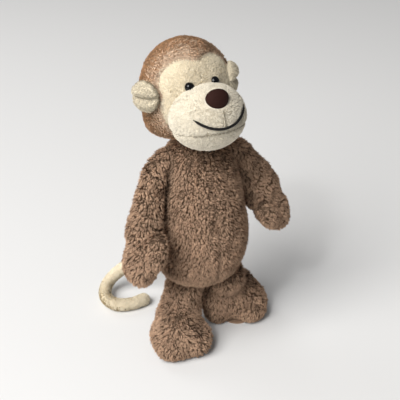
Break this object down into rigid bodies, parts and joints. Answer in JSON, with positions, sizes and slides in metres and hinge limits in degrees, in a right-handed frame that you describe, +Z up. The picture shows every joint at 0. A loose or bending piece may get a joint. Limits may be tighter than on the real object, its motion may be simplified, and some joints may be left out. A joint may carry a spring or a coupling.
{
  "type": "stuffed toy monkey",
  "caption": "Standing stuffed toy monkey in brown plush with a cream face, ears and tail; head, ears, arms, legs and tail move at their sewn seams.",
  "frame": {"origin": "on the floor under the middle of the toy's box", "axes": "+Z up, the toy faces -Y, its own right side is -X"},
  "size_m": [0.1734, 0.1782, 0.3033],
  "materials": {
    "brown_plush": "matte",
    "hood_plush": "matte",
    "cream_plush": "matte",
    "pale_plush": "matte",
    "nose_thread": "matte",
    "black_thread": "matte",
    "cream_thread": "matte",
    "brown_thread": "matte",
    "eye_plastic": "gloss",
    "washer_plastic": "satin",
    "stuffing_fibre": "matte",
    "pellet_bag_cloth": "matte",
    "sole_felt": "matte"
  },
  "bodies": {
    "torso": {"torso_front_left": "brown_plush", "torso_front_right": "brown_plush", "torso_back_left": "brown_plush", "torso_back_right": "brown_plush", "torso_stuffing": "stuffing_fibre", "seat_pellet_bag": "pellet_bag_cloth", "hip_stitching_left": "brown_thread", "hip_stitching_right": "brown_thread"},
    "neck_seam": {"neck_stitching": "brown_thread"},
    "head": {"hood_left": "hood_plush", "hood_right": "hood_plush", "face_panel": "cream_plush", "muzzle_panel": "pale_plush", "chin_gusset": "pale_plush", "head_stuffing": "stuffing_fibre", "nose": "nose_thread", "mouth_thread": "black_thread", "philtrum_thread": "cream_thread", "eye_right": "eye_plastic", "eye_washer_right": "washer_plastic", "eye_left": "eye_plastic", "eye_washer_left": "washer_plastic"},
    "ear_right": {"ear_right_front": "cream_plush", "ear_right_back": "cream_plush"},
    "ear_left": {"ear_left_front": "cream_plush", "ear_left_back": "cream_plush"},
    "armhole_seam_right": {"armhole_stitching_right": "brown_thread"},
    "arm_right": {"arm_right_outer": "brown_plush", "arm_right_inner": "brown_plush", "arm_right_stuffing": "stuffing_fibre"},
    "armhole_seam_left": {"armhole_stitching_left": "brown_thread"},
    "arm_left": {"arm_left_outer": "brown_plush", "arm_left_inner": "brown_plush", "arm_left_stuffing": "stuffing_fibre"},
    "leg_right": {"leg_right_outer": "brown_plush", "leg_right_inner": "brown_plush", "leg_right_stuffing": "stuffing_fibre", "foot_right_sole": "sole_felt", "foot_right_pellet_bag": "pellet_bag_cloth"},
    "leg_left": {"leg_left_outer": "brown_plush", "leg_left_inner": "brown_plush", "leg_left_stuffing": "stuffing_fibre", "foot_left_sole": "sole_felt", "foot_left_pellet_bag": "pellet_bag_cloth"},
    "tail_seam": {"tail_stitching": "cream_thread"},
    "tail": {"tail_cover": "cream_plush", "tail_stuffing": "stuffing_fibre"}
  },
  "joints": [
    {"name": "head_turn", "type": "hinge", "parent": "torso", "child": "neck_seam", "pos_m": [-0.0058, -0.0171, 0.2595], "axis": [0, 0, 1], "range_deg": [-45, 45]},
    {"name": "head_nod", "type": "hinge", "parent": "neck_seam", "child": "head", "pos_m": [-0.0058, -0.0171, 0.2595], "axis": [0.9976, 0.0698, 0], "range_deg": [-12, 6]},
    {"name": "ear_right_flop", "type": "hinge", "parent": "head", "child": "ear_right", "pos_m": [-0.04379, -0.03868, 0.26587], "axis": [-0.0121, 0.1732, 0.9848], "range_deg": [0, 40]},
    {"name": "ear_left_flop", "type": "hinge", "parent": "head", "child": "ear_left", "pos_m": [0.03482, -0.03318, 0.26587], "axis": [0.0121, -0.1732, -0.9848], "range_deg": [0, 40]},
    {"name": "arm_right_swing", "type": "hinge", "parent": "torso", "child": "armhole_seam_right", "pos_m": [-0.0403, -0.0231, 0.197], "axis": [-1, 0, 0], "range_deg": [-70, 120]},
    {"name": "arm_right_lift", "type": "hinge", "parent": "armhole_seam_right", "child": "arm_right", "pos_m": [-0.0403, -0.0231, 0.197], "axis": [0, 0.9744, -0.225], "range_deg": [0, 70]},
    {"name": "arm_left_swing", "type": "hinge", "parent": "torso", "child": "armhole_seam_left", "pos_m": [0.0377, -0.0231, 0.197], "axis": [-1, 0, 0], "range_deg": [-70, 120]},
    {"name": "arm_left_lift", "type": "hinge", "parent": "armhole_seam_left", "child": "arm_left", "pos_m": [0.0377, -0.0231, 0.197], "axis": [0, -0.9903, -0.1392], "range_deg": [-3, 70]},
    {"name": "leg_right_swing", "type": "hinge", "parent": "torso", "child": "leg_right", "pos_m": [-0.0233, -0.0231, 0.06], "axis": [-1, 0, 0], "range_deg": [-12, 50]},
    {"name": "leg_left_swing", "type": "hinge", "parent": "torso", "child": "leg_left", "pos_m": [0.0207, -0.0231, 0.06], "axis": [-1, 0, 0], "range_deg": [-12, 50]},
    {"name": "tail_swing", "type": "hinge", "parent": "torso", "child": "tail_seam", "pos_m": [-0.0013, 0.0139, 0.084], "axis": [0, 0, 1], "range_deg": [-20, 20]},
    {"name": "tail_lift", "type": "hinge", "parent": "tail_seam", "child": "tail", "pos_m": [-0.0013, 0.0139, 0.084], "axis": [1, 0, 0], "range_deg": [0, 60]}
  ]
}
